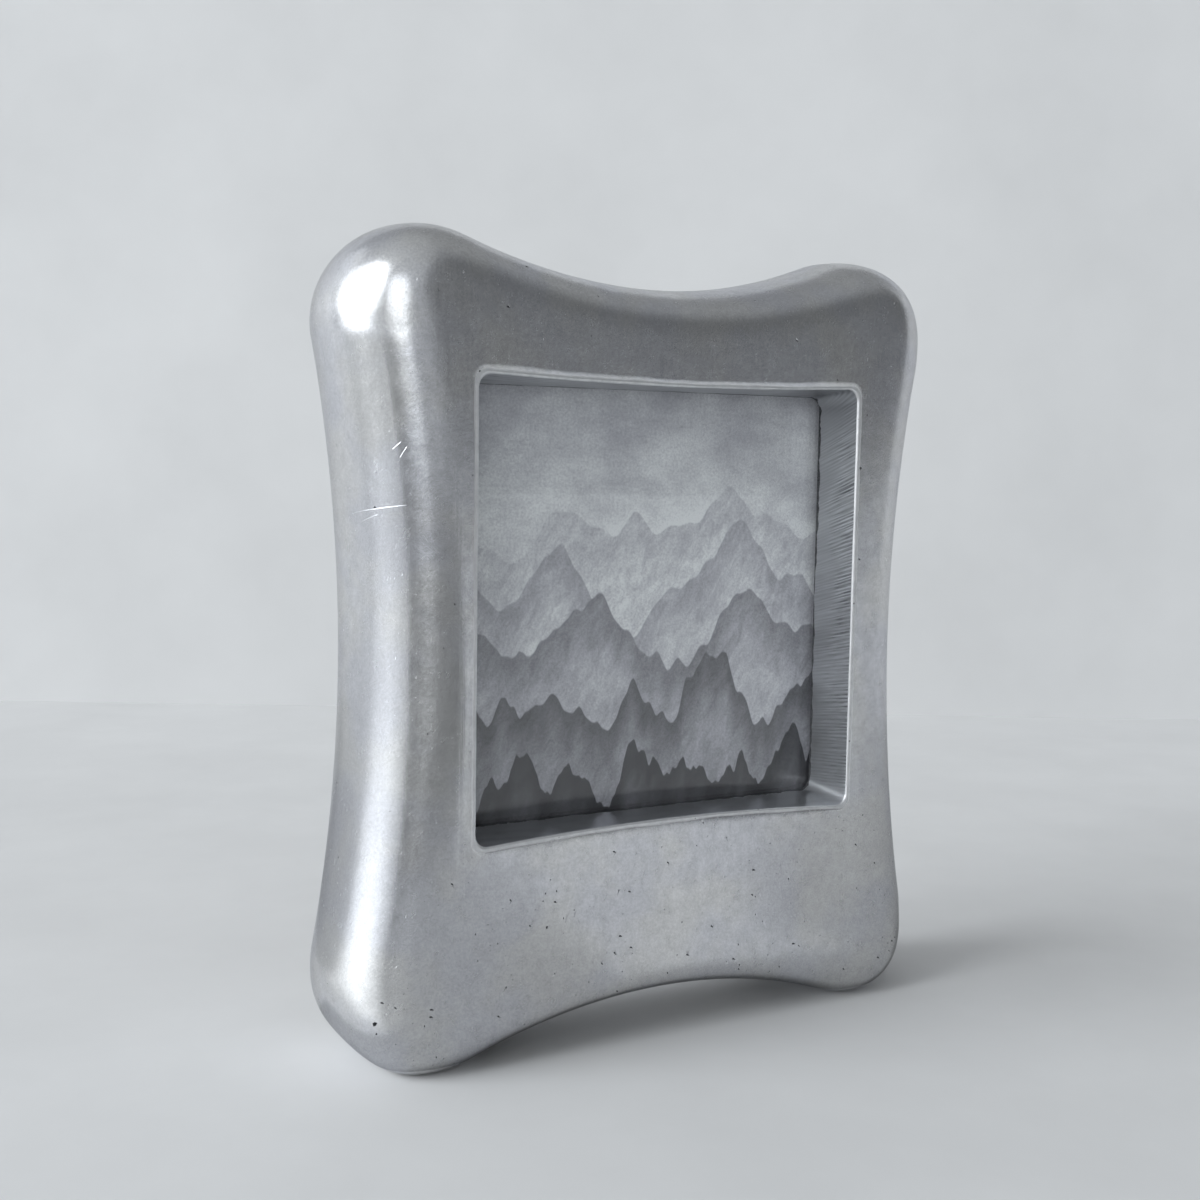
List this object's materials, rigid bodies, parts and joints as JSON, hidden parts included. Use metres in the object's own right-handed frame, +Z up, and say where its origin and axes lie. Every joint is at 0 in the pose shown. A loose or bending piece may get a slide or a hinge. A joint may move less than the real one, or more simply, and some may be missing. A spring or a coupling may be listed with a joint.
{
  "type": "photo frame",
  "caption": "Free-standing cast aluminium photo frame with bulbous corner lobes, drawn-in sides and a square window; a glazed print is held from behind by a panel and turn buttons.",
  "frame": {"origin": "on the ground plane under the middle of the frame, at the bottom centre of the bounding box", "axes": "+Z up, the window faces -Y, +X to the right seen from the front"},
  "size_m": [0.1264, 0.03, 0.1495],
  "materials": {
    "cast_aluminium": "sand-cast, hand-polished to a satin shine outside, as cast in the well",
    "glazing": "clear float glass",
    "print_paper": "satin black-and-white photo paper",
    "grey_card": "plain grey card",
    "hardboard": "smooth-faced brown hardboard",
    "brass_plate": "brass-plated pressing",
    "zinc_steel": "bright zinc plate"
  },
  "bodies": {
    "frame": {"frame_casting": "cast_aluminium", "glazing_pane": "glazing", "photo_print": "print_paper", "backing_card": "grey_card", "back_panel": "hardboard", "button_washer_top_left": "zinc_steel", "button_washer_top_right": "zinc_steel", "button_washer_bottom_left": "zinc_steel", "button_washer_bottom_right": "zinc_steel", "button_screw_top_left": "zinc_steel", "button_screw_top_right": "zinc_steel", "button_screw_bottom_left": "zinc_steel", "button_screw_bottom_right": "zinc_steel"},
    "turn_button_top_left": {"turn_button_top_left": "brass_plate"},
    "turn_button_top_right": {"turn_button_top_right": "brass_plate"},
    "turn_button_bottom_left": {"turn_button_bottom_left": "brass_plate"},
    "turn_button_bottom_right": {"turn_button_bottom_right": "brass_plate"}
  },
  "joints": [
    {"name": "top_left_turn", "type": "hinge", "parent": "frame", "child": "turn_button_top_left", "pos_m": [-0.027, 0.0038, 0.1307], "axis": [0, 1, 0], "range_deg": [-95, 120]},
    {"name": "top_right_turn", "type": "hinge", "parent": "frame", "child": "turn_button_top_right", "pos_m": [0.027, 0.0038, 0.1307], "axis": [0, 1, 0], "range_deg": [-120, 95]},
    {"name": "bottom_left_turn", "type": "hinge", "parent": "frame", "child": "turn_button_bottom_left", "pos_m": [-0.027, 0.0038, 0.0331], "axis": [0, 1, 0], "continuous": true},
    {"name": "bottom_right_turn", "type": "hinge", "parent": "frame", "child": "turn_button_bottom_right", "pos_m": [0.027, 0.0038, 0.0331], "axis": [0, 1, 0], "continuous": true}
  ]
}
